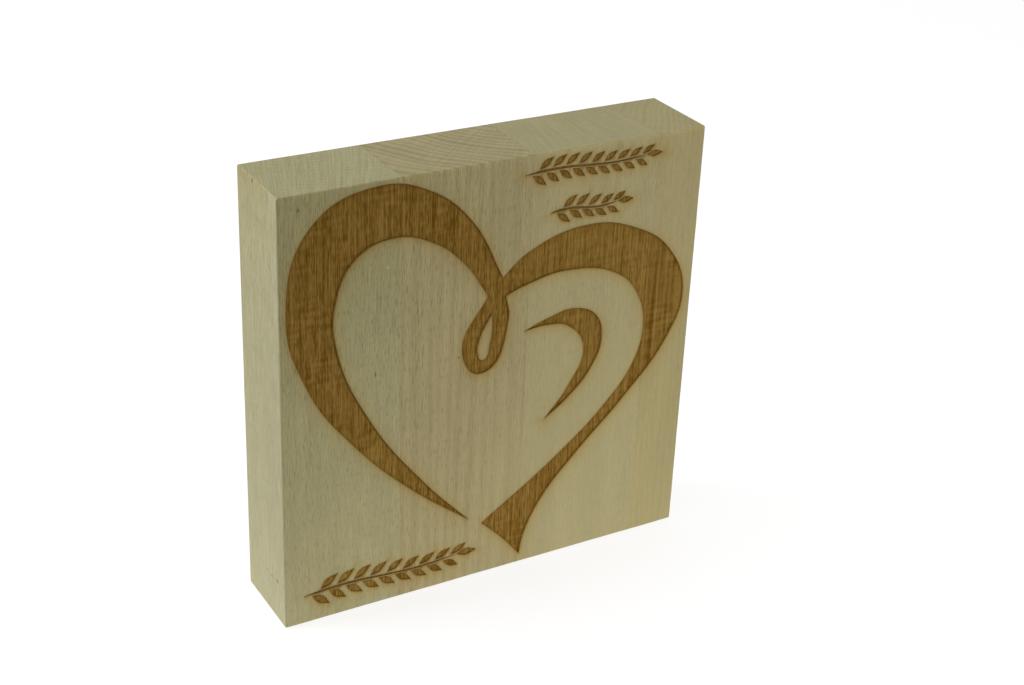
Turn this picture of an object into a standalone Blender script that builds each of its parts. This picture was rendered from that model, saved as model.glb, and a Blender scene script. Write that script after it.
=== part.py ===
"""Square wooden plaque: an edge-glued beech block with a ribbon heart engraved in its front face.

Metres, +Z up. The plaque stands on z = 0, centred on X and Y, and its front face looks along -Y.
Four upright staves are glued edge to edge, and a thin film of dried glue fills each joint.
The heart is one shallow pocket that runs on across the joints.
"""

import bmesh
import bpy
from math import radians
from mathutils import Matrix

MM = 0.001

# Block
WIDTH = 150 * MM
HEIGHT = 150 * MM
THICKNESS = 30 * MM
ARRIS_RADIUS = 0.6 * MM
ARRIS_SEGMENTS = 5

# Staves and glue joints: the board was cut from a wider panel, so the end staves are part widths
FULL_STAVE = 45.7 * MM
FIRST_STAVE = 40.4 * MM
STAVE_NAMES = ("stave_left", "stave_mid_left", "stave_mid_right", "stave_right")
GLUE_NAMES = ("glue_line_left", "glue_line_middle", "glue_line_right")
GLUE_FILM = 0.2 * MM
GLUE_CLEARANCE = 0.1 * MM
GLUE_SHRINKAGE = 0.2 * MM

# Engraving
ENGRAVING_DEPTH = 0.5 * MM
CUTTER_OVERLAP = 2 * MM
CURVE_STEPS = 8

# Finishes: linear colours and roughness
BEECH_TONES = ((0.35, 0.31, 0.17), (0.33, 0.28, 0.155), (0.36, 0.31, 0.165), (0.38, 0.32, 0.165))
BEECH_ROUGHNESS = 0.6
GLUE_TONE = (0.17, 0.13, 0.07)
GLUE_ROUGHNESS = 0.4
SCORCHED_TONE = (0.16, 0.085, 0.02)
SCORCHED_ROUGHNESS = 0.8

# Outlines on the front face in millimetres: x from the centre line, z up from the base.
# The curve flows through a SMOOTH anchor and turns a corner at a SHARP one.
SMOOTH = "AUTO"
SHARP = "VECTOR"

# The ribbon, from the tail of the left lobe up and round to the cleft, round the right lobe to
# the point of the heart, back along the inner edge, round the loop and down to the tail again
RIBBON = (
    (-8.8, 23.3, SHARP),
    (-30.0, 40.5, SMOOTH),
    (-50.0, 61.4, SMOOTH),
    (-65.8, 85.0, SMOOTH),
    (-72.7, 113.0, SMOOTH),
    (-63.8, 139.8, SMOOTH),
    (-42.0, 148.5, SMOOTH),
    (-25.5, 144.3, SMOOTH),
    (-10.5, 131.7, SMOOTH),
    (1.2, 110.3, SHARP),
    (10.0, 117.2, SMOOTH),
    (31.5, 122.9, SMOOTH),
    (50.0, 118.8, SMOOTH),
    (65.0, 108.0, SMOOTH),
    (71.6, 91.5, SMOOTH),
    (66.6, 75.6, SMOOTH),
    (50.0, 55.4, SMOOTH),
    (33.0, 39.0, SMOOTH),
    (19.5, 23.8, SMOOTH),
    (13.3, 11.5, SMOOTH),
    (11.7, 3.6, SHARP),
    (5.0, 11.7, SMOOTH),
    (-3.5, 20.3, SHARP),
    (25.0, 39.6, SMOOTH),
    (43.5, 55.5, SMOOTH),
    (53.1, 68.2, SMOOTH),
    (56.4, 81.0, SMOOTH),
    (53.6, 93.3, SMOOTH),
    (45.0, 103.0, SMOOTH),
    (25.0, 108.2, SMOOTH),
    (9.0, 105.8, SMOOTH),
    (2.6, 103.7, SHARP),
    (3.9, 95.2, SMOOTH),
    (-5.3, 77.7, SMOOTH),
    (-12.7, 86.5, SMOOTH),
    (-4.0, 105.0, SHARP),
    (-13.0, 118.0, SMOOTH),
    (-24.0, 126.9, SMOOTH),
    (-37.0, 130.8, SMOOTH),
    (-49.5, 126.5, SMOOTH),
    (-56.6, 112.5, SMOOTH),
    (-56.2, 97.0, SMOOTH),
    (-45.0, 69.8, SMOOTH),
    (-25.0, 41.4, SMOOTH),
)

# Uncut wood inside the loop
LOOP_ISLAND = (
    (-2.2, 98.3, SHARP),
    (-6.2, 91.0, SMOOTH),
    (-7.1, 85.0, SMOOTH),
    (-5.2, 82.4, SMOOTH),
    (-2.6, 88.4, SMOOTH),
)

# Crescent inside the right lobe
CRESCENT = (
    (10.0, 89.5, SHARP),
    (19.0, 92.5, SMOOTH),
    (28.5, 93.9, SMOOTH),
    (37.3, 89.6, SMOOTH),
    (40.0, 80.5, SMOOTH),
    (36.5, 70.4, SMOOTH),
    (28.0, 61.0, SMOOTH),
    (19.4, 55.0, SHARP),
    (27.5, 65.0, SMOOTH),
    (33.0, 78.6, SMOOTH),
    (26.5, 88.0, SMOOTH),
    (18.0, 90.0, SMOOTH),
)


def clear_scene():
    """Remove whatever objects the scene starts with."""
    for thing in list(bpy.data.objects):
        bpy.data.objects.remove(thing, do_unlink=True)


def new_collection(name):
    """Make a collection in the scene."""
    collection = bpy.data.collections.new(name)
    bpy.context.scene.collection.children.link(collection)
    return collection


def finish(name, colour, roughness):
    """Make a plain Principled material."""
    material = bpy.data.materials.new(name)
    material.use_nodes = True
    shader = material.node_tree.nodes["Principled BSDF"]
    shader.inputs["Base Color"].default_value = (*colour, 1.0)
    shader.inputs["Roughness"].default_value = roughness
    shader.inputs["Metallic"].default_value = 0.0
    return material


def add_outline(curve, anchors):
    """Add one closed outline to a flat curve, in the curve's own X and Y."""
    spline = curve.splines.new("BEZIER")
    spline.bezier_points.add(len(anchors) - 1)
    spline.use_cyclic_u = True
    for point, (x, z, corner) in zip(spline.bezier_points, anchors):
        point.co = (x * MM, z * MM, 0.0)
        point.handle_left_type = corner
        point.handle_right_type = corner


def heart_cutter(collection):
    """Make the solid that cuts the heart pocket out of the front face."""
    curve = bpy.data.curves.new("heart_outline", "CURVE")
    curve.dimensions = "2D"
    curve.fill_mode = "BOTH"
    curve.resolution_u = CURVE_STEPS
    curve.extrude = (ENGRAVING_DEPTH + CUTTER_OVERLAP) / 2
    for anchors in (RIBBON, LOOP_ISLAND, CRESCENT):
        add_outline(curve, anchors)
    outline = bpy.data.objects.new("heart_outline", curve)
    collection.objects.link(outline)
    # The flat curve is stood up, and its middle set so that the pocket has its depth
    middle = -THICKNESS / 2 + ENGRAVING_DEPTH - curve.extrude
    outline.matrix_world = Matrix.Translation((0.0, middle, 0.0)) @ Matrix.Rotation(radians(90), 4, "X")
    bpy.context.view_layer.update()

    evaluated = outline.evaluated_get(bpy.context.evaluated_depsgraph_get())
    mesh = bpy.data.meshes.new_from_object(evaluated)
    mesh.name = "heart_cutter"
    body = bmesh.new()
    body.from_mesh(mesh)
    bmesh.ops.remove_doubles(body, verts=body.verts, dist=MM / 1000)
    bmesh.ops.recalc_face_normals(body, faces=body.faces)
    body.to_mesh(mesh)
    body.free()

    # The pocket's floor and walls take the cutter's scorched finish
    mesh.materials.append(finish("scorched_beech", SCORCHED_TONE, SCORCHED_ROUGHNESS))
    cutter = bpy.data.objects.new("heart_cutter", mesh)
    cutter.matrix_world = outline.matrix_world.copy()
    cutter.hide_render = True
    cutter.display_type = "WIRE"
    collection.objects.link(cutter)
    bpy.data.objects.remove(outline, do_unlink=True)
    return cutter


def is_arris(edge, half, joint_sides):
    """Say whether an edge is an outer arris; the edges of a glued side stay square."""
    for side in joint_sides:
        if all(abs(vertex.co.x - side * half[0]) < MM / 100 for vertex in edge.verts):
            return False
    return True


def block(name, size, centre, joint_sides, collection, parent):
    """Make an upright block, its arrises eased except round the sides that are glued."""
    half = [length / 2 for length in size]
    body = bmesh.new()
    bmesh.ops.create_cube(body, size=1.0, matrix=Matrix.Diagonal((*size, 1.0)))
    weights = body.edges.layers.float.new("bevel_weight_edge")
    for edge in body.edges:
        edge[weights] = 1.0 if is_arris(edge, half, joint_sides) else 0.0
    mesh = bpy.data.meshes.new(name)
    body.to_mesh(mesh)
    body.free()

    piece = bpy.data.objects.new(name, mesh)
    piece.location = centre
    piece.parent = parent
    collection.objects.link(piece)
    easing = piece.modifiers.new("eased_arrises", "BEVEL")
    easing.limit_method = "WEIGHT"
    easing.width = ARRIS_RADIUS
    easing.segments = ARRIS_SEGMENTS
    return piece


def engrave(piece, cutter):
    """Cut the heart pocket out of a piece."""
    pocket = piece.modifiers.new("heart_pocket", "BOOLEAN")
    pocket.operation = "DIFFERENCE"
    pocket.solver = "EXACT"
    pocket.material_mode = "TRANSFER"
    pocket.object = cutter


def joint_places():
    """Give the X of the middle of each glue joint."""
    first = -WIDTH / 2 + FIRST_STAVE
    return [first + count * FULL_STAVE for count in range(len(GLUE_NAMES))]


def build_staves(cutter, collection, parent):
    """Make the four staves between the outer sides and the glue joints."""
    set_back = GLUE_FILM / 2 + GLUE_CLEARANCE
    joints = joint_places()
    lefts = [-WIDTH / 2] + [x + set_back for x in joints]
    rights = [x - set_back for x in joints] + [WIDTH / 2]
    glued_sides = [(1,)] + [(-1, 1)] * (len(joints) - 1) + [(-1,)]
    for name, left, right, sides, tone in zip(STAVE_NAMES, lefts, rights, glued_sides, BEECH_TONES):
        size = (right - left, THICKNESS, HEIGHT)
        centre = ((left + right) / 2, 0.0, HEIGHT / 2)
        stave = block(name, size, centre, sides, collection, parent)
        stave.data.materials.append(finish("beech_" + name, tone, BEECH_ROUGHNESS))
        engrave(stave, cutter)


def build_glue_lines(cutter, collection, parent):
    """Make the film in each joint, shrunk a little below the sanded faces as it dried."""
    size = (GLUE_FILM, THICKNESS - 2 * GLUE_SHRINKAGE, HEIGHT - 2 * GLUE_SHRINKAGE)
    for name, x in zip(GLUE_NAMES, joint_places()):
        film = block(name, size, (x, 0.0, HEIGHT / 2), (-1, 1), collection, parent)
        film.data.materials.append(finish("dried_" + name, GLUE_TONE, GLUE_ROUGHNESS))
        engrave(film, cutter)


def main():
    clear_scene()
    parts = new_collection("wooden_plaque")
    cutters = new_collection("cutters")
    plaque = bpy.data.objects.new("plaque", None)
    parts.objects.link(plaque)
    cutter = heart_cutter(cutters)
    build_staves(cutter, parts, plaque)
    build_glue_lines(cutter, parts, plaque)
    bpy.context.view_layer.update()


main()
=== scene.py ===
"""Looks of a square wooden plaque: four beech staves glued edge to edge, with a ribbon heart and leaf
sprigs burnt into the front face.

Metres, +Z up. The plaque stands on z = 0, centred on X and Y, and its front face looks along -Y.
"""

import math
from collections import namedtuple

import bpy
from mathutils import Matrix, Vector, noise
from mathutils.bvhtree import BVHTree


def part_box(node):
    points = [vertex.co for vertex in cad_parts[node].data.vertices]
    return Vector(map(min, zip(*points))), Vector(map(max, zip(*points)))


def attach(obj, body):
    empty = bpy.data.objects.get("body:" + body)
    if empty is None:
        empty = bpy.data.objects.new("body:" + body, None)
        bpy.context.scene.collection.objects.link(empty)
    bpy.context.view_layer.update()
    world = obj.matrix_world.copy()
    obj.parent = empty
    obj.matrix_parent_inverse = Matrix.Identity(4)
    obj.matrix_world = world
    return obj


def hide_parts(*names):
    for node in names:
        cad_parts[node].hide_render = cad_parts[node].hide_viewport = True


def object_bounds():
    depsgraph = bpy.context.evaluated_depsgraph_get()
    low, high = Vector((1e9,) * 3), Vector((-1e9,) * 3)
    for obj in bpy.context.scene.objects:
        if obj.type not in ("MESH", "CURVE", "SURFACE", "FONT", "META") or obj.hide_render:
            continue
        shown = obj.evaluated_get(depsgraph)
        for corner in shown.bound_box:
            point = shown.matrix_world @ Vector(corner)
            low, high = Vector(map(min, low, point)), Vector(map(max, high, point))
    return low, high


bl_info = {
    "name": "Engraved Beech Plaque",
    "version": (1, 0, 0),
    "blender": (4, 5, 0),
    "location": "View3D > Sidebar > Plaque",
    "description": "Builds the visible staves, glue lines and studio stage of an engraved beech plaque",
    "category": "Object",
}

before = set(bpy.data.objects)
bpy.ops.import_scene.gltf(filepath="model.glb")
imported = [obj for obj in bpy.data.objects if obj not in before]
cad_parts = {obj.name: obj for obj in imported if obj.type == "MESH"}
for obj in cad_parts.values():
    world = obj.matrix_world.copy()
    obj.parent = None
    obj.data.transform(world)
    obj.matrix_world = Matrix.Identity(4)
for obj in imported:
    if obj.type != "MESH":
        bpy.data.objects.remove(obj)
CAD_LOW, CAD_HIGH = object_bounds()

MM = 0.001
BODY = "root"

# Each stave: its solid, the visible piece, and the sides that are glued, -1 for left and 1 for right
Stave = namedtuple("Stave", "node piece glued")
STAVES = (
    Stave("stave_left", "beech_stave_left", (1,)),
    Stave("stave_mid_left", "beech_stave_mid_left", (-1, 1)),
    Stave("stave_mid_right", "beech_stave_mid_right", (-1, 1)),
    Stave("stave_right", "beech_stave_right", (-1,)),
)
# Each joint: its solid, the visible piece, and how much dirt has caught in it on the sawn ends
GLUE_LINES = (
    ("glue_line_left", "glue_film_left", 1.0),
    ("glue_line_middle", "glue_film_middle", 0.5),
    ("glue_line_right", "glue_film_right", 0.2),
)

# Half the gap that the solids of two staves leave at a joint
GLUE_GAP = 0.2 * MM

# How each stave was sawn, in millimetres: the pith of its log in plan, the distance from the pith to the
# stave's middle, the spacing of growth rings, the width and length of ray flecks and the length of fibres;
# then how strongly rings, flecks, fibres and the silk of the rays on the sawn ends show, how light the
# sawn ends are, how much painted shade darkens the front towards the top and how strong the painted
# highlight along its upper edge is
Sawing = namedtuple(
    "Sawing", "pith reach ring ray dash long ring_show ray_show fibre_show silk_show end crown rub"
)
SAWINGS = (
    Sawing((-150.0, -230.0), 235.0, 2.2, 0.20, 2.4, 9.0, 0.25, 0.62, 0.060, 0.050, 1.03, 1.0, 0.70),
    Sawing((52.0, 52.0), 82.0, 3.0, 0.15, 3.0, 16.0, 1.00, 0.62, 0.046, 0.035, 1.01, 0.3, 1.00),
    Sawing((40.0, 85.0), 100.0, 2.4, 0.20, 2.4, 8.0, 0.12, 0.34, 0.036, 0.034, 0.96, 0.1, 1.90),
    Sawing((162.0, -72.0), 112.0, 2.0, 0.28, 2.4, 6.0, 0.40, 0.15, 0.024, 0.018, 1.01, 0.1, 1.90),
)

# How burning streaks the floor in each stave, in millimetres: the width of a streak at the stave's left
# side, how much wider it gets with each millimetre to the right and its length; then how strongly streaks,
# specks and cross waves show, how light the floor is from 0 to 1 at the left side and at the level height,
# and how much lighter it gets with each millimetre to the right and with each millimetre up
LEVEL_HEIGHT = 100.0
Streaks = namedtuple("Streaks", "wide fan long streak speck waves tone lean rise")
STREAKS = (
    Streaks(0.80, 0.001, 16.0, 0.210, 0.165, 0.075, 0.51, 0.0012, -0.0010),
    Streaks(0.95, 0.001, 24.0, 0.195, 0.180, 0.060, 0.50, 0.0011, 0.0),
    Streaks(0.50, 0.040, 40.0, 0.210, 0.150, 0.050, 0.60, 0.0002, 0.0018),
    Streaks(2.40, 0.001, 50.0, 0.270, 0.080, 0.075, 0.52, 0.0, 0.0),
)

# Small marks in the wood, in millimetres: the middle, the reach in x, y and z, and how dark or light
Mark = namedtuple("Mark", "middle reach tint")
MARKS = (
    Mark((-43.2, -15.0, 86.0), (0.40, 1.0, 1.10), 0.55),
    Mark((-13.9, -15.0, 85.2), (0.35, 1.0, 0.55), 0.45),
    Mark((-39.3, -15.0, 121.5), (0.35, 1.0, 0.40), 1.70),
    Mark((-68.2, -15.0, 145.2), (0.45, 1.0, 0.75), 0.55),
    Mark((-75.0, -9.2, 15.1), (1.0, 1.00, 0.95), 0.55),
    Mark((-75.0, -4.6, 14.4), (1.0, 0.80, 0.60), 0.60),
    Mark((-75.0, -0.5, 14.6), (1.0, 0.80, 0.60), 0.66),
    Mark((-75.0, 2.6, 149.0), (1.0, 0.60, 0.90), 0.50),
)

# Outlines on the front face in millimetres: x from the centre line, z up from the base.
# The curve flows through a SMOOTH anchor and turns a corner at a SHARP one.
SMOOTH = "AUTO"
SHARP = "VECTOR"

# The ribbon, from the tail of the left lobe up and round to the cleft, round the right lobe to
# the point of the heart, back along the inner edge, round the loop and down to the tail again
RIBBON = (
    (-8.8, 23.3, SHARP),
    (-30.0, 40.5, SMOOTH),
    (-50.0, 61.4, SMOOTH),
    (-65.8, 85.0, SMOOTH),
    (-72.7, 113.0, SMOOTH),
    (-63.8, 139.8, SMOOTH),
    (-42.0, 148.5, SMOOTH),
    (-25.5, 144.3, SMOOTH),
    (-10.5, 131.7, SMOOTH),
    (1.2, 110.3, SHARP),
    (10.0, 117.2, SMOOTH),
    (31.5, 122.9, SMOOTH),
    (50.0, 118.8, SMOOTH),
    (65.0, 108.0, SMOOTH),
    (71.6, 91.5, SMOOTH),
    (66.6, 75.6, SMOOTH),
    (50.0, 55.4, SMOOTH),
    (33.0, 39.0, SMOOTH),
    (19.5, 23.8, SMOOTH),
    (13.3, 11.5, SMOOTH),
    (11.7, 3.6, SHARP),
    (5.0, 11.7, SMOOTH),
    (-3.5, 20.3, SHARP),
    (25.0, 39.6, SMOOTH),
    (43.5, 55.5, SMOOTH),
    (53.1, 68.2, SMOOTH),
    (56.4, 81.0, SMOOTH),
    (53.6, 93.3, SMOOTH),
    (45.0, 103.0, SMOOTH),
    (25.0, 108.2, SMOOTH),
    (9.0, 105.8, SMOOTH),
    (2.6, 103.7, SHARP),
    (3.9, 95.2, SMOOTH),
    (-5.3, 77.7, SMOOTH),
    (-12.7, 86.5, SMOOTH),
    (-4.0, 105.0, SHARP),
    (-13.0, 118.0, SMOOTH),
    (-24.0, 126.9, SMOOTH),
    (-37.0, 130.8, SMOOTH),
    (-49.5, 126.5, SMOOTH),
    (-56.6, 112.5, SMOOTH),
    (-56.2, 97.0, SMOOTH),
    (-45.0, 69.8, SMOOTH),
    (-25.0, 41.4, SMOOTH),
)

# Uncut wood inside the loop
LOOP_ISLAND = (
    (-2.2, 98.3, SHARP),
    (-6.2, 91.0, SMOOTH),
    (-7.1, 85.0, SMOOTH),
    (-5.2, 82.4, SMOOTH),
    (-2.6, 88.4, SMOOTH),
)

# Crescent inside the right lobe
CRESCENT = (
    (10.0, 89.5, SHARP),
    (19.0, 92.5, SMOOTH),
    (28.5, 93.9, SMOOTH),
    (37.3, 89.6, SMOOTH),
    (40.0, 80.5, SMOOTH),
    (36.5, 70.4, SMOOTH),
    (28.0, 61.0, SMOOTH),
    (19.4, 55.0, SHARP),
    (27.5, 65.0, SMOOTH),
    (33.0, 78.6, SMOOTH),
    (26.5, 88.0, SMOOTH),
    (18.0, 90.0, SMOOTH),
)

# Leaf sprigs in millimetres: where the twig starts and ends, its height on the face, how many leaves it
# has on each side and the length of a leaf
Sprig = namedtuple("Sprig", "start end height pairs leaf")
SPRIGS = (
    Sprig(8.0, 58.5, 143.6, 9, 6.2),
    Sprig(17.5, 48.5, 129.3, 5, 6.2),
    Sprig(-68.5, -5.5, 10.5, 9, 7.6),
)

# One leaf, as shares of its length along it and aside from it, a little fuller on its upper side
LEAF = ((0.0, 0.0, SHARP), (0.42, 0.19, SMOOTH), (1.0, 0.0, SHARP), (0.46, -0.17, SMOOTH))

# Twig of a sprig: steps along it, and half its thickness in millimetres at the root and how much it loses
TWIG_STEPS = 8
TWIG_HALF = 0.42
TWIG_TAPER = 0.24

# Leaves on a twig: the angle of the first in degrees and how much flatter the last lies, and how far
# along and away from the twig a leaf starts, in millimetres
LEAF_ANGLE = 37.0
LEAF_FLATTENING = 9.0
LEAF_AHEAD = 0.35
LEAF_CLEAR = 0.80

# Cells of noise that make the figure of the beech, in millimetres: across the rays, along the grain and
# out from the pith
SILK_CELL = (0.42, 40.0, 25.0)
CLOUD_CELL = (9.0, 60.0, 9.0)
FIBRE_WIDTH = 0.26
FIBRE_DEPTH = 0.40
RAY_DEPTH = 14.0

# How far growth rings stray from circles, in millimetres, and the cells of that noise in x, y and z
RING_STRAY = 5.0
STRAY_CELL = (24.0, 24.0, 170.0)

# How far marks of burning, wear and dirt, the painted shade at the foot of a wall and the painted
# highlight along the upper front edge reach on the wood before they fade, in millimetres
STAIN_REACH = 1.8
SINGE_REACH = 0.28
FOOT_SHADE_REACH = 0.60
HIGHLIGHT_REACH = 0.5
YELLOW_REACH = 35.0
BLOTCH_REACH = 2.5

# Cells of noise in x, y and z, in millimetres: blotches on the outer sides, specks and cross waves on a
# burnt floor and the patches where the waves show, soot on a wall, and lumps in the glue
BLOTCH_CELL = (2.2, 2.2, 2.2)
SPECK_CELL = (0.36, 0.36, 3.0)
WAVE_CELL = (7.0, 7.0, 1.6)
PATCH_CELL = (14.0, 14.0, 14.0)
SOOT_CELL = (0.5, 0.25, 0.5)
LUMP_CELL = (3.0, 3.0, 3.0)

# Smoke stain beside a burnt edge: its strength, and how much of it drifts to the right and down. The same
# weight, turned round, sets the painted shade at the foot of the upper and left walls of a pocket
SMOKE_SHARE = 0.60
SMOKE_RIGHT = 0.12
SMOKE_DOWN = 0.38

# Distance that stands for no burnt edge anywhere near, in millimetres
FAR_AWAY = 99.0

# Modelling: how far a cutter stands out of the face, how close points are welded, how near a slice may
# pass to a point, how near a point counts as lying on a plane, and the least part along Y of the normal
# of a face that is square to Y
CUTTER_OVERLAP = 2 * MM
WELD = MM / 1000
SLICE_SLACK = MM / 10000
NEAR = MM / 100
SQUARE = 0.9999

# Lengths of the long and the short waves in which sanding has worn the rounded edges
LONG_WEAR = 9.0 * MM
SHORT_WEAR = 2.5 * MM

# Raised grain on the burnt floors, in millimetres: fine ridges follow the rings for a length along the
# grain, broad ones lie over them, and both fade out at this distance from a wall
RIDGE_RING = 0.9
RIDGE_WIDTH = 1.1
RIDGE_LENGTH = 26.0
BROAD_WIDTH = 3.0
BROAD_LENGTH = 9.0
RIDGE_FADE = 0.6

# Paper floor: its width, and how far below the plaque it lies
FLOOR_SIZE = 6.0
FLOOR_DROP = 0.2 * MM

# Lamps: place, the point each faces and its width, in metres
LAMP = ((-0.70, 0.30, 0.40), (-0.05, 0.0, 0.07), 0.5)
FILL = ((0.22, -0.28, 0.08), (0.04, 0.0, 0.02), 0.12)

# Width of the camera's sensor, in millimetres
SENSOR_WIDTH = 36.0

# Specular level of bare wood and of soot
WOOD_SHINE = 0.3
SOOT_SHINE = 0.04


def size(name, description, default):
    """A length that a user may change."""
    return bpy.props.FloatProperty(
        name=name, description=description, default=default, min=0.0, precision=5, unit="LENGTH"
    )


def angle(name, description, degrees):
    """An angle that a user may change."""
    return bpy.props.FloatProperty(
        name=name, description=description, default=math.radians(degrees), subtype="ANGLE"
    )


def level(name, description, default):
    """A plain number that a user may change."""
    return bpy.props.FloatProperty(name=name, description=description, default=default, min=0.0)


def power(name, description, default):
    """A lamp's power that a user may change."""
    return bpy.props.FloatProperty(
        name=name, description=description, default=default, min=0.0, unit="POWER"
    )


def colour(name, description, default):
    """A linear colour that a user may change."""
    return bpy.props.FloatVectorProperty(
        name=name, description=description, default=default, size=3, min=0.0, soft_max=1.0, subtype="COLOR"
    )


class PlaqueBlock(bpy.types.PropertyGroup):
    """Sizes of the block and of what is cut into it."""

    arris_radius: size("Arris radius", "Rounding of the outer edges", 0.6 * MM)
    arris_segments: bpy.props.IntProperty(
        name="Arris segments", description="Faces across a rounded edge", default=6, min=1
    )
    sanding: size("Sanding", "How far hand sanding has eaten unevenly into the rounded edges", 0.10 * MM)
    seam: size("Seam", "Width of a glue joint on the surface", 0.10 * MM)
    seam_sink: size("Seam sink", "How far the dried glue lies below the wood", 0.01 * MM)
    heart_depth: size("Heart depth", "Depth of the burnt heart", 0.5 * MM)
    sprig_depth: size("Sprig depth", "Depth of the burnt sprigs", 0.35 * MM)
    relief: size("Floor relief", "Height of the grain ridges on a pocket's floor", 0.05 * MM)
    across: size("Slice across", "Width of the faces on the front and on the floors", 0.5 * MM)
    along: size("Slice along", "Height of the faces on the front and on the floors", 1.5 * MM)
    curve_steps: bpy.props.IntProperty(
        name="Curve steps", description="Steps between two anchors of an outline", default=16, min=2
    )


class PlaqueWood(bpy.types.PropertyGroup):
    """Colours of the beech, the burning and the glue."""

    tone_1: colour("Left stave", "Beech of the left stave", (0.354, 0.317, 0.157))
    tone_2: colour("Middle left stave", "Beech of the second stave", (0.362, 0.302, 0.143))
    tone_3: colour("Middle right stave", "Beech of the third stave", (0.371, 0.318, 0.151))
    tone_4: colour("Right stave", "Beech of the right stave", (0.362, 0.302, 0.134))
    latewood: colour("Latewood", "Tint of the dark side of a growth ring", (0.74, 0.725, 0.66))
    ray: colour("Ray fleck", "Tint of the small ray flecks", (0.60, 0.585, 0.47))
    handled: colour("Handled sides", "Tint of the sides that hands have yellowed", (0.86, 0.83, 0.70))
    # Painted shade: the front is darkened towards its upper edge, where less light reaches it
    crown: colour("Painted top shade", "Tint of the front towards its upper edge", (0.88, 0.87, 0.80))
    # Painted highlight along the upper front edge
    edge_highlight: colour("Edge highlight", "Tint of the upper front edge, a painted highlight", (1.25, 1.24, 1.17))
    end: colour("Sawn ends", "Tint of the end grain", (1.01, 1.04, 1.08))
    side: colour("Outer sides", "Tint of the two outer sides", (1.01, 1.05, 1.22))
    smoke: colour("Smoke stain", "Tint of the smoke stain beside a burnt edge", (0.90, 0.68, 0.25))
    burnt_light: colour("Burnt light", "Lightest streaks of a burnt floor", (0.285, 0.170, 0.039))
    burnt_dark: colour("Burnt dark", "Darkest streaks of a burnt floor", (0.128, 0.061, 0.004))
    char: colour("Char", "Charred wall of a pocket", (0.200, 0.114, 0.015))
    glue: colour("Glue", "Dried glue along the faces", (0.33, 0.28, 0.135))
    glue_end: colour("Glue at the ends", "Dirty glue on the sawn ends", (0.035, 0.028, 0.018))


class PlaqueStage(bpy.types.PropertyGroup):
    """Camera, lamps and floor."""

    azimuth: angle("Azimuth", "Camera's turn round the plaque from straight in front", -30.821)
    elevation: angle("Elevation", "Camera's height above the horizon", 26.956)
    roll: angle("Roll", "Camera's tilt about its own line of sight", 2.471)
    distance: size("Distance", "Camera's distance from the plaque's middle", 591.3 * MM)
    aside: size("Aside", "Camera's step to its own right", 12.635 * MM)
    raised: size("Raised", "Camera's step upwards in its own picture", 5.032 * MM)
    lens: level("Lens", "Focal length in millimetres on a 36 mm wide sensor", 63.02)
    ambient: level("Ambient", "Even light from all round", 0.60)
    lamp: power("Lamp", "Softbox beside the left side", 4.35)
    fill: power("Fill", "Small softbox low down in front of the right side", 0.32)
    floor: colour("Floor", "Pale paper floor", (0.40, 0.40, 0.40))
    white: level("Floor white", "Share of the floor's white that the shadow doesn't darken", 0.73)
    # Painted glow: the paper round the plaque gives off light onto it, though it is no lamp
    glow: level("Floor glow", "Painted glow that the paper round the plaque gives off onto it", 0.76)
    glow_reach: size("Glow reach", "How far from the plaque the paper is lit", 125 * MM)


# Shader building


class Finish:
    """One node material, laid out a node at a time. Lengths in its nodes are millimetres."""

    def __init__(self, name):
        self.material = bpy.data.materials.new(name)
        self.material.use_nodes = True
        self.tree = self.material.node_tree
        self.shader = self.tree.nodes["Principled BSDF"]

    def feed(self, socket, value):
        """Link an output to a socket, or set a plain value on it."""
        if isinstance(value, bpy.types.NodeSocket):
            self.tree.links.new(value, socket)
        else:
            socket.default_value = value

    def node(self, kind, inputs=None, **settings):
        """Add a node with its settings and inputs."""
        made = self.tree.nodes.new("ShaderNode" + kind)
        for key, value in settings.items():
            setattr(made, key, value)
        for key, value in (inputs or {}).items():
            self.feed(made.inputs[key], value)
        return made

    def math(self, operation, first, second=0.0):
        """One step of arithmetic."""
        return self.node("Math", {0: first, 1: second}, operation=operation).outputs[0]

    def add(self, first, second):
        """Sum of two values."""
        return self.math("ADD", first, second)

    def times(self, first, second):
        """Product of two values."""
        return self.math("MULTIPLY", first, second)

    def move(self, operation, first, second):
        """One step of vector arithmetic."""
        return self.node("VectorMath", {0: first, 1: second}, operation=operation).outputs["Vector"]

    def shrink(self, vector, x, y, z):
        """Divide a vector by a length in each direction."""
        return self.move("DIVIDE", vector, (x, y, z))

    def ramp(self, value, low, high, start=0.0, end=1.0):
        """Ease a value from start to end as it passes from low to high."""
        inputs = {"Value": value, "From Min": low, "From Max": high, "To Min": start, "To Max": end}
        return self.node("MapRange", inputs, interpolation_type="SMOOTHSTEP").outputs[0]

    def swing(self, value, amount):
        """Turn noise, which lies about a half, into a swing of about an amount either way."""
        return self.times(self.math("SUBTRACT", value, 0.5), 10.0 * amount)

    def fade(self, distance, reach):
        """Fall from one to nothing with distance."""
        return self.math("EXPONENT", self.times(distance, -1.0 / reach))

    def noise(self, vector, detail=2.0, roughness=0.5):
        """Soft noise from 0 to 1, one cell for each unit of the vector."""
        inputs = {"Vector": vector, "Scale": 1.0, "Detail": detail, "Roughness": roughness}
        return self.node("TexNoise", inputs)

    def blend(self, share, first, second, kind="MIX"):
        """Mix two colours."""
        made = self.node("Mix", {0: share, 6: first, 7: second}, data_type="RGBA", blend_type=kind)
        return made.outputs[2]

    def brighten(self, tone, amount):
        """Scale a colour by a number."""
        grey = self.node("CombineXYZ", {0: amount, 1: amount, 2: amount}).outputs[0]
        return self.blend(1.0, tone, grey, "MULTIPLY")

    def bump(self, height, depth):
        """Raise the surface by a height from 0 to 1 times a depth in millimetres."""
        inputs = {"Strength": 1.0, "Distance": depth * MM, "Height": height}
        self.feed(self.shader.inputs["Normal"], self.node("Bump", inputs).outputs[0])


Grain = namedtuple("Grain", "place late fleck fibre silk cloud")


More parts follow.
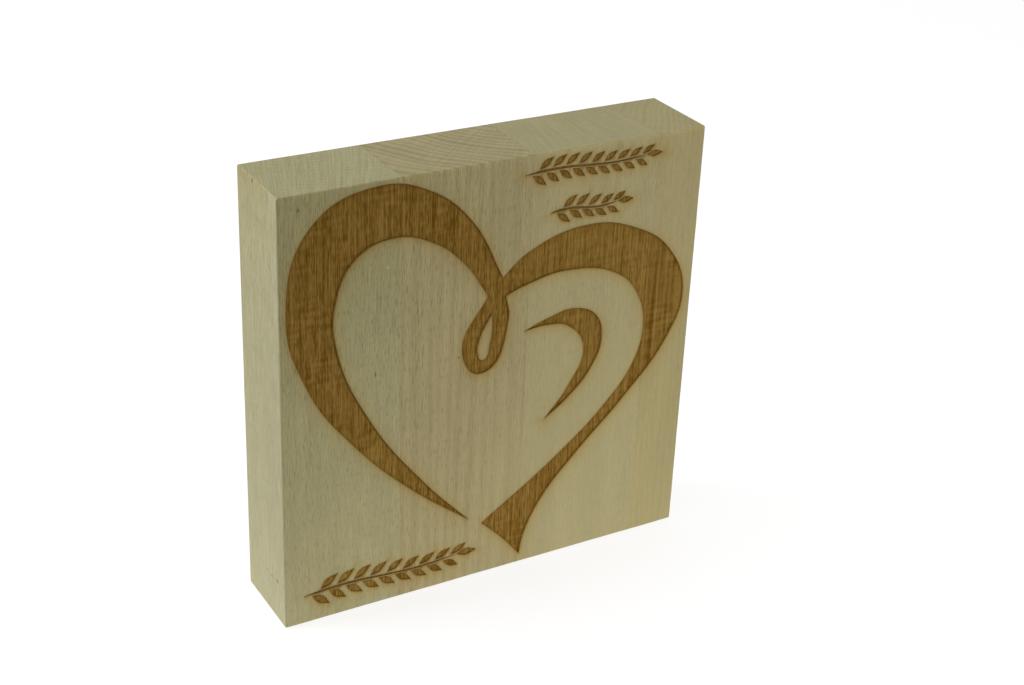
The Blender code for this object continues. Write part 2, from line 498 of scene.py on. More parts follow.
def grain_of(finish, sawing):
    """Lay out the figure of a solid piece of beech, sawn from its log as given."""
    place = finish.node("TexCoord").outputs["Object"]
    place = finish.move("MULTIPLY", place, (1.0 / MM,) * 3)
    from_pith = finish.move("SUBTRACT", place, (*sawing.pith, 0.0))
    axes = finish.node("SeparateXYZ", {0: from_pith}).outputs
    across = finish.times(finish.math("ARCTAN2", axes[1], axes[0]), sawing.reach)
    stray = finish.noise(finish.shrink(place, *STRAY_CELL), 1.0).outputs["Color"]
    stray = finish.move("SUBTRACT", stray, (0.5, 0.5, 0.5))
    stray = finish.move("MULTIPLY", stray, (RING_STRAY, RING_STRAY, 0.0))
    flat = finish.move("MULTIPLY", finish.move("ADD", from_pith, stray), (1.0, 1.0, 0.0))
    radius = finish.node("VectorMath", {0: flat}, operation="LENGTH").outputs["Value"]
    point = finish.node("CombineXYZ", {0: across, 1: axes[2], 2: radius}).outputs[0]

    # Growth rings: soft dark bands, some fainter than others
    uneven = finish.times(radius, 1.0 / (2.5 * sawing.ring))
    uneven = finish.node("TexNoise", {"W": uneven, "Scale": 1.0}, noise_dimensions="1D").outputs[0]
    turn = finish.add(finish.times(radius, 1.0 / sawing.ring), uneven)
    share = finish.math("FRACT", turn)
    number = finish.math("FLOOR", turn)
    lot = finish.node("TexWhiteNoise", {"W": number}, noise_dimensions="1D").outputs["Value"]
    late = finish.times(finish.ramp(share, 0.20, 0.60), finish.ramp(share, 0.65, 1.0, 1.0, 0.0))
    late = finish.times(late, finish.ramp(lot, 0.0, 1.0, 0.55, 1.0))

    # Rays point at the pith: they show as short dashes on a face and as a silk of lines on a sawn end
    fleck = finish.noise(finish.shrink(point, sawing.ray, sawing.dash, RAY_DEPTH), 0.0).outputs[0]
    fleck = finish.ramp(fleck, 0.56, 0.80)
    silk = finish.noise(finish.shrink(point, *SILK_CELL), 1.0).outputs[0]
    fibre = finish.shrink(point, FIBRE_WIDTH, sawing.long, FIBRE_DEPTH)
    fibre = finish.noise(fibre, 2.0, 0.6).outputs[0]
    cloud = finish.noise(finish.shrink(point, *CLOUD_CELL), 2.0).outputs[0]
    return Grain(place, late, fleck, fibre, silk, cloud)


def facing(finish, axis):
    """Give 1 on the faces that look along an axis and 0 on the others."""
    normal = finish.node("TexCoord").outputs["Normal"]
    along = finish.node("SeparateXYZ", {0: normal}).outputs[axis]
    return finish.ramp(finish.math("ABSOLUTE", along), 0.3, 0.8)


def edge_distance(finish):
    """Give the distance to the nearest burnt edge, in millimetres."""
    return finish.node("Attribute", attribute_name="edge_distance").outputs["Fac"]


def smoke_and_shade_side(finish):
    """Give how much smoke drifted this way from the nearest burnt edge, which also sets where painted
    shade falls at the foot of a wall.
    """
    return finish.node("Attribute", attribute_name="smoke_and_shade_side").outputs["Fac"]


def beech_finish(name, sawing, tone, wood):
    """Bare sanded beech."""
    finish = Finish(name)
    grain = grain_of(finish, sawing)
    end = facing(finish, 2)
    side = facing(finish, 0)
    skin = finish.brighten((*tone, 1.0), finish.ramp(grain.cloud, 0.3, 0.7, 0.97, 1.03))
    rings = finish.ramp(end, 0.0, 1.0, 0.45 * sawing.ring_show, sawing.ring_show)
    rings = finish.times(grain.late, rings)
    skin = finish.blend(rings, skin, (*wood.latewood, 1.0), "MULTIPLY")

    # The figure shows a little more towards the top
    depth, height = finish.node("SeparateXYZ", {0: grain.place}).outputs[1:]
    clear = finish.ramp(height, 20.0, 140.0, 0.85, 1.35)
    fibres = finish.times(finish.swing(grain.fibre, sawing.fibre_show), clear)
    silk = finish.times(finish.swing(grain.silk, sawing.silk_show), end)
    skin = finish.brighten(skin, finish.add(finish.add(fibres, silk), 1.0))
    rays = finish.times(finish.ramp(finish.add(end, side), 0.0, 1.0, 1.0, 0.5), sawing.ray_show)
    rays = finish.times(finish.times(grain.fleck, rays), clear)
    skin = finish.blend(rays, skin, (*wood.ray, 1.0), "MULTIPLY")
    ends = tuple(part * sawing.end for part in wood.end)
    skin = finish.blend(end, skin, (*ends, 1.0), "MULTIPLY")
    skin = finish.blend(side, skin, (*wood.side, 1.0), "MULTIPLY")

    # Painted shade darkens the front towards its upper edge, and a painted highlight lightens that edge
    crown = finish.times(finish.ramp(height, 80.0, 140.0, 0.0, sawing.crown), facing(finish, 1))
    skin = finish.blend(crown, skin, (*wood.crown, 1.0), "MULTIPLY")
    down = finish.math("SUBTRACT", CAD_HIGH.z / MM, height)
    back = finish.math("SUBTRACT", depth, CAD_LOW.y / MM)
    # A painted highlight runs along the upper front edge
    edge_highlight = finish.fade(finish.math("MAXIMUM", finish.math("ABSOLUTE", down), back), HIGHLIGHT_REACH)
    skin = finish.blend(finish.times(edge_highlight, sawing.rub), skin, (*wood.edge_highlight, 1.0), "MULTIPLY")

    # The outer sides have yellowed from the top down, and are blotched along their upper edge
    worn = finish.add(finish.times(finish.fade(down, YELLOW_REACH), 0.7), 0.22)
    worn = finish.times(finish.times(worn, side), finish.ramp(back, 0.0, 12.0, 0.1, 1.0))
    skin = finish.blend(worn, skin, (*wood.handled, 1.0), "MULTIPLY")
    blotch = finish.noise(finish.shrink(grain.place, *BLOTCH_CELL), 1.0).outputs[0]
    blotch = finish.ramp(blotch, 0.40, 0.62, 0.04, 0.55)
    blotch = finish.times(blotch, finish.ramp(back, 0.0, 24.0, 0.2, 1.0))
    blotch = finish.times(finish.times(blotch, side), finish.fade(down, BLOTCH_REACH))
    skin = finish.blend(blotch, skin, (*wood.smoke, 1.0), "MULTIPLY")

    # Burnt edges carry a smoke stain and a singed line
    smoke_and_shade = smoke_and_shade_side(finish)
    smoke = finish.times(finish.fade(edge_distance(finish), STAIN_REACH), smoke_and_shade)
    skin = finish.blend(smoke, skin, (*wood.smoke, 1.0), "MULTIPLY")
    singe = finish.fade(edge_distance(finish), SINGE_REACH)
    singe = finish.times(singe, finish.add(finish.times(smoke_and_shade, 0.5), 0.36))
    skin = finish.blend(singe, skin, (*wood.burnt_dark, 1.0))

    # Nicks and specks
    for mark in MARKS:
        away = finish.shrink(finish.move("SUBTRACT", grain.place, mark.middle), *mark.reach)
        away = finish.node("VectorMath", {0: away}, operation="LENGTH").outputs["Value"]
        skin = finish.brighten(skin, finish.ramp(away, 0.5, 1.1, mark.tint, 1.0))

    shader = finish.shader.inputs
    finish.feed(shader["Base Color"], skin)
    finish.feed(shader["Roughness"], finish.ramp(grain.fibre, 0.2, 0.8, 0.66, 0.54))
    shader["Specular IOR Level"].default_value = WOOD_SHINE
    finish.bump(finish.math("SUBTRACT", grain.fibre, finish.times(grain.fleck, 0.35)), 0.02)
    return finish.material


def burnt_finish(name, sawing, streaks, left, wood):
    """Burnt floor of a pocket, streaked along the grain and faintly waved across it."""
    finish = Finish(name)
    grain = grain_of(finish, sawing)
    x, _, z = finish.node("SeparateXYZ", {0: grain.place}).outputs
    rightward = finish.math("SUBTRACT", x, left)
    run = finish.math("LOGARITHM", finish.add(finish.times(rightward, streaks.fan), 1.0), math.e)
    run = finish.times(run, 1.0 / (streaks.fan * streaks.wide))
    lines = finish.node("CombineXYZ", {0: run, 1: finish.times(z, 1.0 / streaks.long)}).outputs[0]
    streak = finish.noise(lines, 2.0, 0.6).outputs[0]
    wobble = finish.noise(finish.shrink(lines, 3.0, 30.0, 1.0), 1.0).outputs[0]
    ripple = finish.add(finish.times(run, 0.62), finish.times(wobble, 5.0))
    ripple = finish.math("SINE", finish.times(ripple, 2.0 * math.pi))
    speck = finish.noise(finish.shrink(grain.place, *SPECK_CELL), 1.0).outputs[0]
    share = finish.swing(streak, 0.70 * streaks.streak)
    share = finish.add(share, finish.times(ripple, 0.90 * streaks.streak))
    share = finish.add(share, finish.swing(speck, streaks.speck))

    # Waves across the grain come and go
    patch = finish.noise(finish.shrink(grain.place, *PATCH_CELL), 1.0).outputs[0]
    wave = finish.noise(finish.shrink(grain.place, *WAVE_CELL), 0.0).outputs[0]
    wave = finish.times(finish.swing(wave, streaks.waves), finish.ramp(patch, 0.40, 0.60, 0.2, 1.2))
    upward = finish.add(z, -LEVEL_HEIGHT)
    slope = finish.add(finish.times(rightward, streaks.lean), finish.times(upward, streaks.rise))
    share = finish.add(finish.add(share, wave), finish.add(slope, streaks.tone))
    share = finish.math("SUBTRACT", share, finish.times(grain.late, 0.12 * sawing.ring_show))
    share = finish.math("SUBTRACT", share, finish.times(grain.fleck, 0.12 * sawing.ray_show))
    floor = finish.blend(share, (*wood.burnt_dark, 1.0), (*wood.burnt_light, 1.0))

    # Painted shade: the floor is darker at the foot of the upper and left walls, where shade falls in the
    # corner
    foot_shade = finish.fade(edge_distance(finish), FOOT_SHADE_REACH)
    foot_shade = finish.times(foot_shade, finish.ramp(smoke_and_shade_side(finish), 0.25, 0.75, 0.90, 0.10))
    floor = finish.blend(foot_shade, floor, (*wood.burnt_dark, 1.0))

    shader = finish.shader.inputs
    finish.feed(shader["Base Color"], floor)
    finish.feed(shader["Roughness"], finish.ramp(streak, 0.2, 0.8, 0.90, 0.75))
    shader["Specular IOR Level"].default_value = SOOT_SHINE
    finish.bump(finish.add(finish.times(streak, 0.6), finish.times(speck, 0.4)), 0.04)
    return finish.material


def charred_finish(name, wood):
    """Charred wall of a pocket, painted lighter where it faces sideways."""
    finish = Finish(name)
    place = finish.move("MULTIPLY", finish.node("TexCoord").outputs["Object"], (1.0 / MM,) * 3)
    soot = finish.noise(finish.shrink(place, *SOOT_CELL), 2.0).outputs[0]
    wall = finish.brighten((*wood.char, 1.0), finish.ramp(soot, 0.2, 0.8, 0.6, 1.6))
    # Painted light: walls that face sideways are made lighter to make up for the light that misses them
    wall = finish.brighten(wall, finish.add(finish.times(facing(finish, 0), 0.6), 1.0))
    finish.feed(finish.shader.inputs["Base Color"], wall)
    finish.feed(finish.shader.inputs["Roughness"], finish.ramp(soot, 0.2, 0.8, 0.9, 0.75))
    finish.shader.inputs["Specular IOR Level"].default_value = SOOT_SHINE
    finish.bump(soot, 0.04)
    return finish.material


def glue_finish(name, dirt, wood):
    """Dried glue, slightly uneven along the joint."""
    finish = Finish(name)
    place = finish.move("MULTIPLY", finish.node("TexCoord").outputs["Object"], (1.0 / MM,) * 3)
    lumps = finish.noise(finish.shrink(place, *LUMP_CELL), 3.0).outputs[0]
    film = finish.blend(finish.times(facing(finish, 2), dirt), (*wood.glue, 1.0), (*wood.glue_end, 1.0))
    film = finish.brighten(film, finish.ramp(lumps, 0.3, 0.7, 0.7, 1.4))
    finish.feed(finish.shader.inputs["Base Color"], film)
    finish.feed(finish.shader.inputs["Roughness"], finish.ramp(lumps, 0.3, 0.7, 0.35, 0.55))
    finish.bump(lumps, 0.03)
    return finish.material


# Modelling


def pick_only(piece):
    """Select one object and make it the active one."""
    if bpy.context.mode != "OBJECT":
        bpy.ops.object.mode_set(mode="OBJECT")
    bpy.ops.object.select_all(action="DESELECT")
    piece.select_set(True)
    bpy.context.view_layer.objects.active = piece


def pick_parts(piece, kind, test):
    """Go into edit mode with the faces or edges selected that pass a test."""
    pick_only(piece)
    bpy.ops.object.mode_set(mode="EDIT")
    bpy.ops.mesh.reveal(select=False)
    bpy.ops.mesh.select_mode(type=kind)
    bpy.ops.mesh.select_all(action="DESELECT")
    bpy.ops.object.mode_set(mode="OBJECT")
    for part in piece.data.polygons if kind == "FACE" else piece.data.edges:
        part.select = test(part)
    bpy.ops.object.mode_set(mode="EDIT")


def add_outline(curve, anchors):
    """Add one closed outline to a flat curve, in the curve's own X and Y."""
    spline = curve.splines.new("BEZIER")
    spline.bezier_points.add(len(anchors) - 1)
    spline.use_cyclic_u = True
    for point, (x, z, corner) in zip(spline.bezier_points, anchors):
        point.co = (x * MM, z * MM, 0.0)
        point.handle_left_type = corner
        point.handle_right_type = corner


def leaf_outline(root, heading, length):
    """A pointed leaf from its root on, turned to a heading."""
    along = Vector((math.cos(heading), math.sin(heading)))
    aside = Vector((-along.y, along.x))
    return [(*(root + along * length * a + aside * length * b), corner) for a, b, corner in LEAF]


def sprig_outlines(sprig):
    """Outlines of a twig with leaves set by turns above and below it, none touching another."""
    span = sprig.end - sprig.start - sprig.leaf
    sway = sprig.leaf * 0.10

    def twig(share):
        return Vector((sprig.start + span * share, sprig.height + sway * math.sin(share * 2 * math.pi)))

    upper, lower = [], []
    for count in range(1, TWIG_STEPS):
        share = count / TWIG_STEPS
        half = TWIG_HALF - TWIG_TAPER * share
        upper.append((*(twig(share) + Vector((0.0, half))), SMOOTH))
        lower.append((*(twig(share) - Vector((0.0, half))), SMOOTH))
    outlines = [[(*twig(0.0), SHARP), *upper, (*twig(1.0), SHARP), *reversed(lower)]]
    outlines.append(leaf_outline(twig(1.0) + Vector((0.5, 0.0)), 0.0, sprig.leaf * 0.95))
    for count in range(2 * sprig.pairs):
        share = (count + 0.9) / (2 * sprig.pairs + 0.6)
        side = 1 if count % 2 else -1
        heading = side * math.radians(LEAF_ANGLE - LEAF_FLATTENING * share)
        root = twig(share) + Vector((LEAF_AHEAD, side * LEAF_CLEAR))
        outlines.append(leaf_outline(root, heading, sprig.leaf * (1.0 - 0.18 * share)))
    return outlines


def is_cap(face):
    """Say whether a face of a cutter is one of its flat ends."""
    return abs(face.normal.y) > 0.9


def pocket_cutter(name, outlines, depth, block):
    """Make a solid that cuts closed outlines out of the front face."""
    curve = bpy.data.curves.new(name, "CURVE")
    curve.dimensions = "2D"
    curve.fill_mode = "BOTH"
    curve.resolution_u = block.curve_steps
    curve.extrude = (depth + CUTTER_OVERLAP) / 2
    for anchors in outlines:
        add_outline(curve, anchors)
    cutter = bpy.data.objects.new(name, curve)
    bpy.context.scene.collection.objects.link(cutter)
    pick_only(cutter)
    bpy.ops.object.convert(target="MESH")
    cutter = bpy.context.object

    # Stood up on the front face, at its depth
    cutter.rotation_euler = (math.radians(90.0), 0.0, 0.0)
    cutter.location = (0.0, CAD_LOW.y + (depth - CUTTER_OVERLAP) / 2, 0.0)
    bpy.ops.object.transform_apply(location=True, rotation=True, scale=True)
    bpy.ops.object.mode_set(mode="EDIT")
    bpy.ops.mesh.select_all(action="SELECT")
    bpy.ops.mesh.remove_doubles(threshold=WELD)
    bpy.ops.mesh.normals_make_consistent(inside=False)
    pick_parts(cutter, "FACE", is_cap)
    bpy.ops.mesh.dissolve_limited(angle_limit=math.radians(0.5))
    bpy.ops.object.mode_set(mode="OBJECT")
    return cutter


def burning_cutter(block):
    """Make one solid that cuts the heart and the sprigs.

    Its caps are the first material slot and its sides the second.
    """
    leaves = [outline for sprig in SPRIGS for outline in sprig_outlines(sprig)]
    sprigs = pocket_cutter("sprig_cutter", leaves, block.sprig_depth, block)
    cutter = pocket_cutter("heart_cutter", (RIBBON, LOOP_ISLAND, CRESCENT), block.heart_depth, block)
    sprigs.select_set(True)
    bpy.ops.object.join()
    for slot in range(2):
        cutter.data.materials.append(None)
    for face in cutter.data.polygons:
        face.material_index = 0 if is_cap(face) else 1
    cutter.hide_render = True
    return cutter


def side_walls(cutter):
    """Gather the sides of the cutter, to measure distances from them."""
    points = [point.co.copy() for point in cutter.data.vertices]
    sides = [tuple(face.vertices) for face in cutter.data.polygons if face.material_index == 1]
    return BVHTree.FromPolygons(points, sides)


def box_piece(name, low, high, glued, block):
    """Add a block between two corners and round its arrises, except round the sides that are glued."""
    bpy.ops.object.select_all(action="DESELECT")
    bpy.ops.mesh.primitive_cube_add(size=1.0, location=(low + high) / 2, scale=high - low)
    piece = bpy.context.object
    piece.name = name
    piece.data.name = name
    bpy.ops.object.transform_apply(location=True, rotation=True, scale=True)
    points = piece.data.vertices
    sides = [high.x if side > 0 else low.x for side in glued]

    def is_arris(edge):
        return not any(all(abs(points[v].co.x - side) < NEAR for v in edge.vertices) for side in sides)

    pick_parts(piece, "EDGE", is_arris)
    bpy.ops.mesh.bevel(
        offset_type="OFFSET",
        offset=block.arris_radius,
        segments=block.arris_segments,
        profile=0.5,
        affect="EDGES",
    )
    bpy.ops.object.mode_set(mode="OBJECT")
    return piece


def slice_shown(axis, start, end, step):
    """Bisect what shows in edit mode by even planes across an axis."""
    normal = [0.0, 0.0, 0.0]
    normal[axis] = 1.0
    count = max(1, round((end - start) / step))
    for number in range(1, count):
        place = [0.0, 0.0, 0.0]
        place[axis] = start + (end - start) * number / count
        bpy.ops.mesh.select_all(action="SELECT")
        bpy.ops.mesh.bisect(plane_co=place, plane_no=normal, threshold=SLICE_SLACK)


def burn(piece, cutter, materials):
    """Cut the pockets out of a piece, its floors and walls taking their own finishes."""
    for slot, material in enumerate(materials):
        cutter.data.materials[slot] = material
    pick_only(piece)
    bpy.ops.object.modifier_add(type="BOOLEAN")
    pocket = piece.modifiers[-1]
    pocket.operation = "DIFFERENCE"
    pocket.solver = "EXACT"
    pocket.material_mode = "TRANSFER"
    pocket.object = cutter
    uncut = len(piece.data.vertices)
    bpy.ops.object.modifier_apply(modifier=pocket.name)
    if len(piece.data.vertices) == uncut:
        raise RuntimeError("no pocket was cut into " + piece.name)


def sand_unevenly(piece, block):
    """Move the rounded edges in by a little, more in one place than in another."""
    reach = block.arris_radius
    for point in piece.data.vertices:
        spot = point.co
        inward = Vector((0.0, 0.0, 0.0))
        for axis in range(3):
            if spot[axis] - CAD_LOW[axis] < reach * 0.98:
                inward[axis] = 1.0
            elif CAD_HIGH[axis] - spot[axis] < reach * 0.98:
                inward[axis] = -1.0
        if inward.length > 1.1:
            wave = noise.noise(spot / LONG_WEAR) + 0.5 * noise.noise(spot / SHORT_WEAR)
            depth = min(max(0.5 + 0.6 * wave, 0.0), 1.0)
            point.co = spot + inward.normalized() * depth * block.sanding


def measure_burning(piece, walls, block):
    """Store how far front and floor points lie from a burnt edge, and how much smoke drifted there, which
    also sets where painted shade falls on a floor.
    """
    mesh = piece.data
    deepest = CAD_LOW.y + max(block.heart_depth, block.sprig_depth) + NEAR
    distances = mesh.attributes.new("edge_distance", "FLOAT", "POINT")
    smoke_and_shade_weights = mesh.attributes.new("smoke_and_shade_side", "FLOAT", "POINT")
    for number, point in enumerate(mesh.vertices):
        far, smoke_and_shade = FAR_AWAY, 0.0
        if point.co.y < deepest:
            _, outward, _, far = walls.find_nearest(point.co)
            far /= MM
            smoke_and_shade = SMOKE_SHARE + SMOKE_RIGHT * outward.x - SMOKE_DOWN * outward.z
        distances.data[number].value = far
        smoke_and_shade_weights.data[number].value = smoke_and_shade


def ridge_floors(piece, block, sawing):
    """Raise the grain on the burnt floors."""
    mesh = piece.data
    floors = set()
    for face in mesh.polygons:
        if face.material_index == 1:
            floors.update(face.vertices)
    distances = mesh.attributes["edge_distance"].data
    pith = Vector((*sawing.pith, 0.0)) * MM
    for number in floors:
        point = mesh.vertices[number]
        far = distances[number].value
        if far > 0.05:
            spot = point.co / MM
            ring = (point.co - pith).xy.length / MM
            fine = Vector((ring / RIDGE_RING, spot.x / RIDGE_WIDTH, spot.z / RIDGE_LENGTH))
            broad = Vector((spot.x / BROAD_WIDTH, 7.0, spot.z / BROAD_LENGTH))
            wave = noise.noise(fine) + 0.5 * noise.noise(broad)
            point.co.y -= block.relief * wave * min(1.0, far / RIDGE_FADE)


def smooth(piece):
    """Shade the rounded edges smooth and keep the wide faces flat."""
    pick_only(piece)
    bpy.ops.object.shade_smooth_by_angle(angle=math.radians(30.0))
    bpy.ops.object.modifier_add(type="WEIGHTED_NORMAL")
    flat = piece.modifiers[-1]
    flat.keep_sharp = True
    bpy.ops.object.modifier_apply(modifier=flat.name)


class PLAQUE_OT_staves(bpy.types.Operator):
    """Model the four beech staves, burn the heart and the sprigs into them and give them their finishes"""

    bl_idname = "plaque.staves"
    bl_label = "Beech Staves"

    def execute(self, context):
        block = context.scene.plaque_block
        wood = context.scene.plaque_wood
        cutter = burning_cutter(block)
        walls = side_walls(cutter)
        char = charred_finish("charred_wall", wood)
        tones = (wood.tone_1, wood.tone_2, wood.tone_3, wood.tone_4)
        for stave, sawing, streaks, tone in zip(STAVES, SAWINGS, STREAKS, tones):
            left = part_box(stave.node)[0].x / MM
            burnt = burnt_finish("burnt_" + stave.node, sawing, streaks, left, wood)
            beech = beech_finish("beech_" + stave.node, sawing, tone, wood)
            self.make(stave, sawing, cutter, walls, (beech, burnt, char), block)
        bpy.data.objects.remove(cutter, do_unlink=True)
        return {"FINISHED"}

    def make(self, stave, sawing, cutter, walls, finishes, block):
        """Model one stave where its solid is, closed up to the seams beside it."""
        low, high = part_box(stave.node)
        joint_gap = GLUE_GAP - block.seam / 2
        for side in stave.glued:
            if side < 0:
                low.x -= joint_gap
            else:
                high.x += joint_gap
        piece = box_piece(stave.piece, low, high, stave.glued, block)

        # Long faces are sliced along the grain, so that the rounded edges can be worn
        bpy.ops.object.mode_set(mode="EDIT")
        slice_shown(2, CAD_LOW.z + block.arris_radius, CAD_HIGH.z - block.arris_radius, block.along)
        slice_shown(1, CAD_LOW.y + block.arris_radius, CAD_HIGH.y - block.arris_radius, 4 * block.along)
        ends = (CAD_LOW.z + 1.2 * block.arris_radius, CAD_HIGH.z - 1.2 * block.arris_radius)

        def is_rim(face):
            return abs(face.normal.y) < SQUARE or not ends[0] < face.center.z < ends[1]

        pick_parts(piece, "FACE", is_rim)
        bpy.ops.mesh.hide(unselected=True)
        slice_shown(0, low.x, high.x, 2 * block.along)
        bpy.ops.mesh.reveal(select=False)
        bpy.ops.object.mode_set(mode="OBJECT")
        sand_unevenly(piece, block)

        piece.data.materials.append(finishes[0])
        burn(piece, cutter, finishes[1:])

        # The front and the floors get faces small enough to carry the smoke stain and the raised grain
        pick_parts(piece, "FACE", lambda face: face.normal.y < -SQUARE or face.material_index > 0)
        bpy.ops.mesh.hide(unselected=True)
        slice_shown(2, CAD_LOW.z + block.arris_radius, CAD_HIGH.z - block.arris_radius, block.along)
        slice_shown(0, low.x, high.x, block.across)
        bpy.ops.mesh.reveal(select=False)
        bpy.ops.mesh.select_all(action="SELECT")
        bpy.ops.mesh.dissolve_degenerate(threshold=WELD)
        bpy.ops.object.mode_set(mode="OBJECT")
        measure_burning(piece, walls, block)
        ridge_floors(piece, block, sawing)
        smooth(piece)
        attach(piece, BODY)
        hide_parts(stave.node)


class PLAQUE_OT_glue_lines(bpy.types.Operator):
    """Model the film of dried glue in each joint between two staves"""

    bl_idname = "plaque.glue_lines"
    bl_label = "Glue Lines"

    def execute(self, context):
        block = context.scene.plaque_block
        wood = context.scene.plaque_wood
        cutter = burning_cutter(block)
        char = charred_finish("charred_glue", wood)
        for node, name, dirt in GLUE_LINES:
            low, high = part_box(node)
            middle = (low.x + high.x) / 2
            sink = block.seam_sink
            low = Vector((middle - block.seam / 2, CAD_LOW.y + sink, CAD_LOW.z + sink))
            high = Vector((middle + block.seam / 2, CAD_HIGH.y - sink, CAD_HIGH.z - sink))
            piece = box_piece(name, low, high, (-1, 1), block)
            piece.data.materials.append(glue_finish("dried_" + name, dirt, wood))
            burn(piece, cutter, (char, char))
            smooth(piece)
            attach(piece, BODY)
            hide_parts(node)
        bpy.data.objects.remove(cutter, do_unlink=True)
        return {"FINISHED"}


def softbox(name, place, aim, width, watts):
    """Add a square lamp that faces a point."""
    bpy.ops.object.select_all(action="DESELECT")
    bpy.ops.object.light_add(type="AREA", location=place)
    lamp = bpy.context.object
    lamp.name = name
    lamp.data.shape = "SQUARE"
    lamp.data.size = width
    lamp.data.energy = watts
    lamp.visible_camera = False
    lamp.rotation_euler = (Vector(aim) - Vector(place)).to_track_quat("-Z", "Y").to_euler()


def seen_rays(nodes, links):
    """Give 1 for rays that the camera, a mirror or a glass sees, and 0 for those that light the plaque."""
    path = nodes.new("ShaderNodeLightPath")
    total = path.outputs["Is Camera Ray"]
    for name in ("Is Glossy Ray", "Is Transmission Ray"):
        step = nodes.new("ShaderNodeMath")
        step.operation = "MAXIMUM"
        links.new(total, step.inputs[0])
        links.new(path.outputs[name], step.inputs[1])
        total = step.outputs[0]
    return total


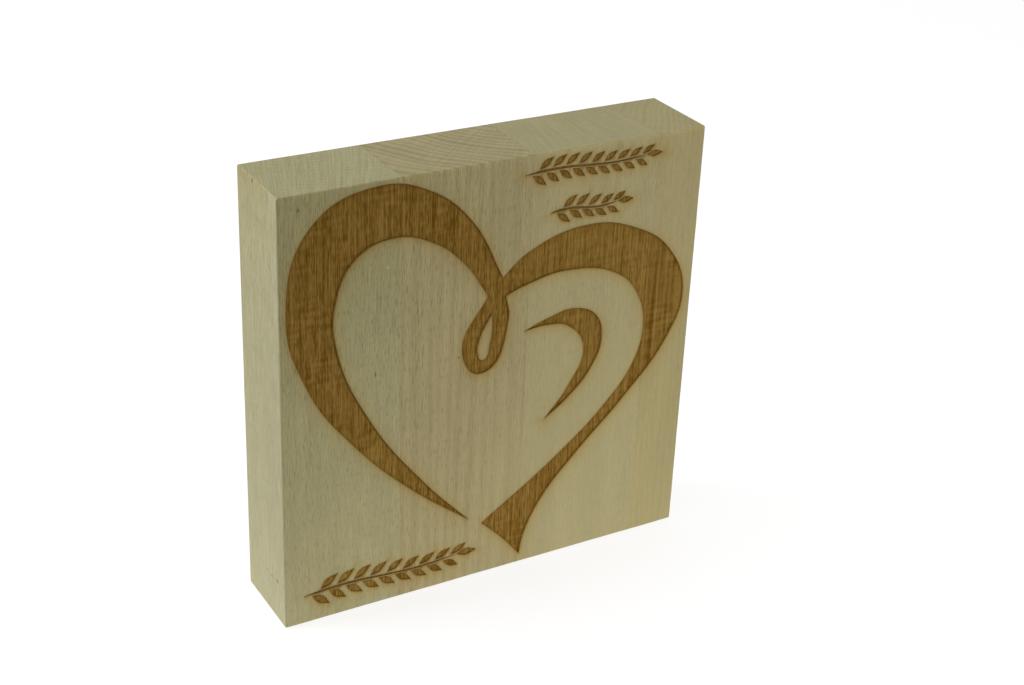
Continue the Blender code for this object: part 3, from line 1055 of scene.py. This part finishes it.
class PLAQUE_OT_stage(bpy.types.Operator):
    """Lay the pale floor, set the lamps and stand the camera where the photograph was taken"""

    bl_idname = "plaque.stage"
    bl_label = "Studio Stage"

    def execute(self, context):
        stage = context.scene.plaque_stage
        self.lay_floor(stage)
        self.light_world(context.scene, stage)
        softbox("softbox", *LAMP, stage.lamp)
        softbox("fill_softbox", *FILL, stage.fill)
        self.stand_camera(context.scene, stage)
        context.scene.view_settings.view_transform = "Standard"
        return {"FINISHED"}

    def lay_floor(self, stage):
        """A wide sheet of paper just below the plaque, white wherever no shadow falls, and glowing onto
        the plaque near it as painted light.
        """
        bpy.ops.object.select_all(action="DESELECT")
        bpy.ops.mesh.primitive_plane_add(size=FLOOR_SIZE, location=(0.0, 0.0, -FLOOR_DROP))
        floor = bpy.context.object
        floor.name = "paper_floor"
        paper = bpy.data.materials.new("white_paper")
        paper.use_nodes = True
        nodes, links = paper.node_tree.nodes, paper.node_tree.links
        nodes.remove(nodes["Principled BSDF"])
        matt = nodes.new("ShaderNodeBsdfDiffuse")
        matt.inputs["Color"].default_value = (*stage.floor, 1.0)
        glow = nodes.new("ShaderNodeEmission")
        # Painted glow: near the plaque the paper gives off light onto it, while the camera sees plain
        # white
        away = nodes.new("ShaderNodeVectorMath")
        away.operation = "LENGTH"
        links.new(nodes.new("ShaderNodeTexCoord").outputs["Object"], away.inputs[0])
        pool = nodes.new("ShaderNodeMapRange")
        pool.interpolation_type = "SMOOTHSTEP"
        links.new(away.outputs["Value"], pool.inputs["Value"])
        pool.inputs["From Min"].default_value = stage.glow_reach * 0.85
        pool.inputs["From Max"].default_value = stage.glow_reach * 1.15
        pool.inputs["To Min"].default_value = stage.glow
        pool.inputs["To Max"].default_value = 0.0
        either = nodes.new("ShaderNodeMix")
        links.new(seen_rays(nodes, links), either.inputs[0])
        links.new(pool.outputs[0], either.inputs[2])
        either.inputs[3].default_value = stage.white
        links.new(either.outputs[0], glow.inputs["Strength"])
        both = nodes.new("ShaderNodeAddShader")
        links.new(matt.outputs[0], both.inputs[0])
        links.new(glow.outputs[0], both.inputs[1])
        links.new(both.outputs[0], nodes["Material Output"].inputs["Surface"])
        floor.data.materials.append(paper)

    def light_world(self, scene, stage):
        """Even light all round, seen as plain white."""
        world = bpy.data.worlds.new("white_studio")
        world.use_nodes = True
        nodes, links = world.node_tree.nodes, world.node_tree.links
        background = nodes["Background"]
        background.inputs["Color"].default_value = (1.0, 1.0, 1.0, 1.0)
        strength = nodes.new("ShaderNodeMapRange")
        links.new(seen_rays(nodes, links), strength.inputs["Value"])
        strength.inputs["To Min"].default_value = stage.ambient
        strength.inputs["To Max"].default_value = 1.0
        links.new(strength.outputs[0], background.inputs["Strength"])
        scene.world = world

    def stand_camera(self, scene, stage):
        """Camera at its angle round the plaque, tilted and stepped aside as it was held."""
        turn, rise, roll = stage.azimuth, stage.elevation, stage.roll
        back = Vector((math.sin(turn) * math.cos(rise), -math.cos(turn) * math.cos(rise), math.sin(rise)))
        level_right = (-back).cross(Vector((0.0, 0.0, 1.0))).normalized()
        level_up = level_right.cross(-back)
        right = level_right * math.cos(roll) + level_up * math.sin(roll)
        up = level_up * math.cos(roll) - level_right * math.sin(roll)
        middle = (CAD_LOW + CAD_HIGH) / 2
        bpy.ops.object.select_all(action="DESELECT")
        bpy.ops.object.camera_add()
        camera = bpy.context.object
        camera.name = "photo_camera"
        camera.data.sensor_width = SENSOR_WIDTH
        camera.data.lens = stage.lens
        camera.data.clip_start = 0.01
        camera.data.clip_end = 20.0
        turned = Matrix((right, up, back)).transposed().to_4x4()
        place = middle + back * stage.distance + right * stage.aside + up * stage.raised
        camera.matrix_world = Matrix.Translation(place) @ turned
        scene.camera = camera


class PLAQUE_PT_sidebar(bpy.types.Panel):
    """Sizes, colours and steps of the plaque"""

    bl_idname = "PLAQUE_PT_sidebar"
    bl_label = "Beech Plaque"
    bl_space_type = "VIEW_3D"
    bl_region_type = "UI"
    bl_category = "Plaque"

    def draw(self, context):
        layout = self.layout
        for step in STEPS:
            layout.operator(step.bl_idname)
        for name, title in SETTINGS:
            group = getattr(context.scene, name)
            box = layout.box()
            box.label(text=title)
            for key in group.__annotations__:
                box.prop(group, key)


STEPS = (PLAQUE_OT_staves, PLAQUE_OT_glue_lines, PLAQUE_OT_stage)
GROUPS = (PlaqueBlock, PlaqueWood, PlaqueStage)
SETTINGS = (("plaque_block", "Block"), ("plaque_wood", "Wood"), ("plaque_stage", "Stage"))


def register():
    for kind in (*GROUPS, *STEPS, PLAQUE_PT_sidebar):
        bpy.utils.register_class(kind)
    for (name, _), kind in zip(SETTINGS, GROUPS):
        setattr(bpy.types.Scene, name, bpy.props.PointerProperty(type=kind))


def unregister():
    for name, _ in SETTINGS:
        delattr(bpy.types.Scene, name)
    for kind in (PLAQUE_PT_sidebar, *reversed(STEPS), *reversed(GROUPS)):
        bpy.utils.unregister_class(kind)


def main():
    register()
    bpy.ops.plaque.staves()
    bpy.ops.plaque.glue_lines()
    bpy.ops.plaque.stage()


if __name__ == "__main__":
    main()
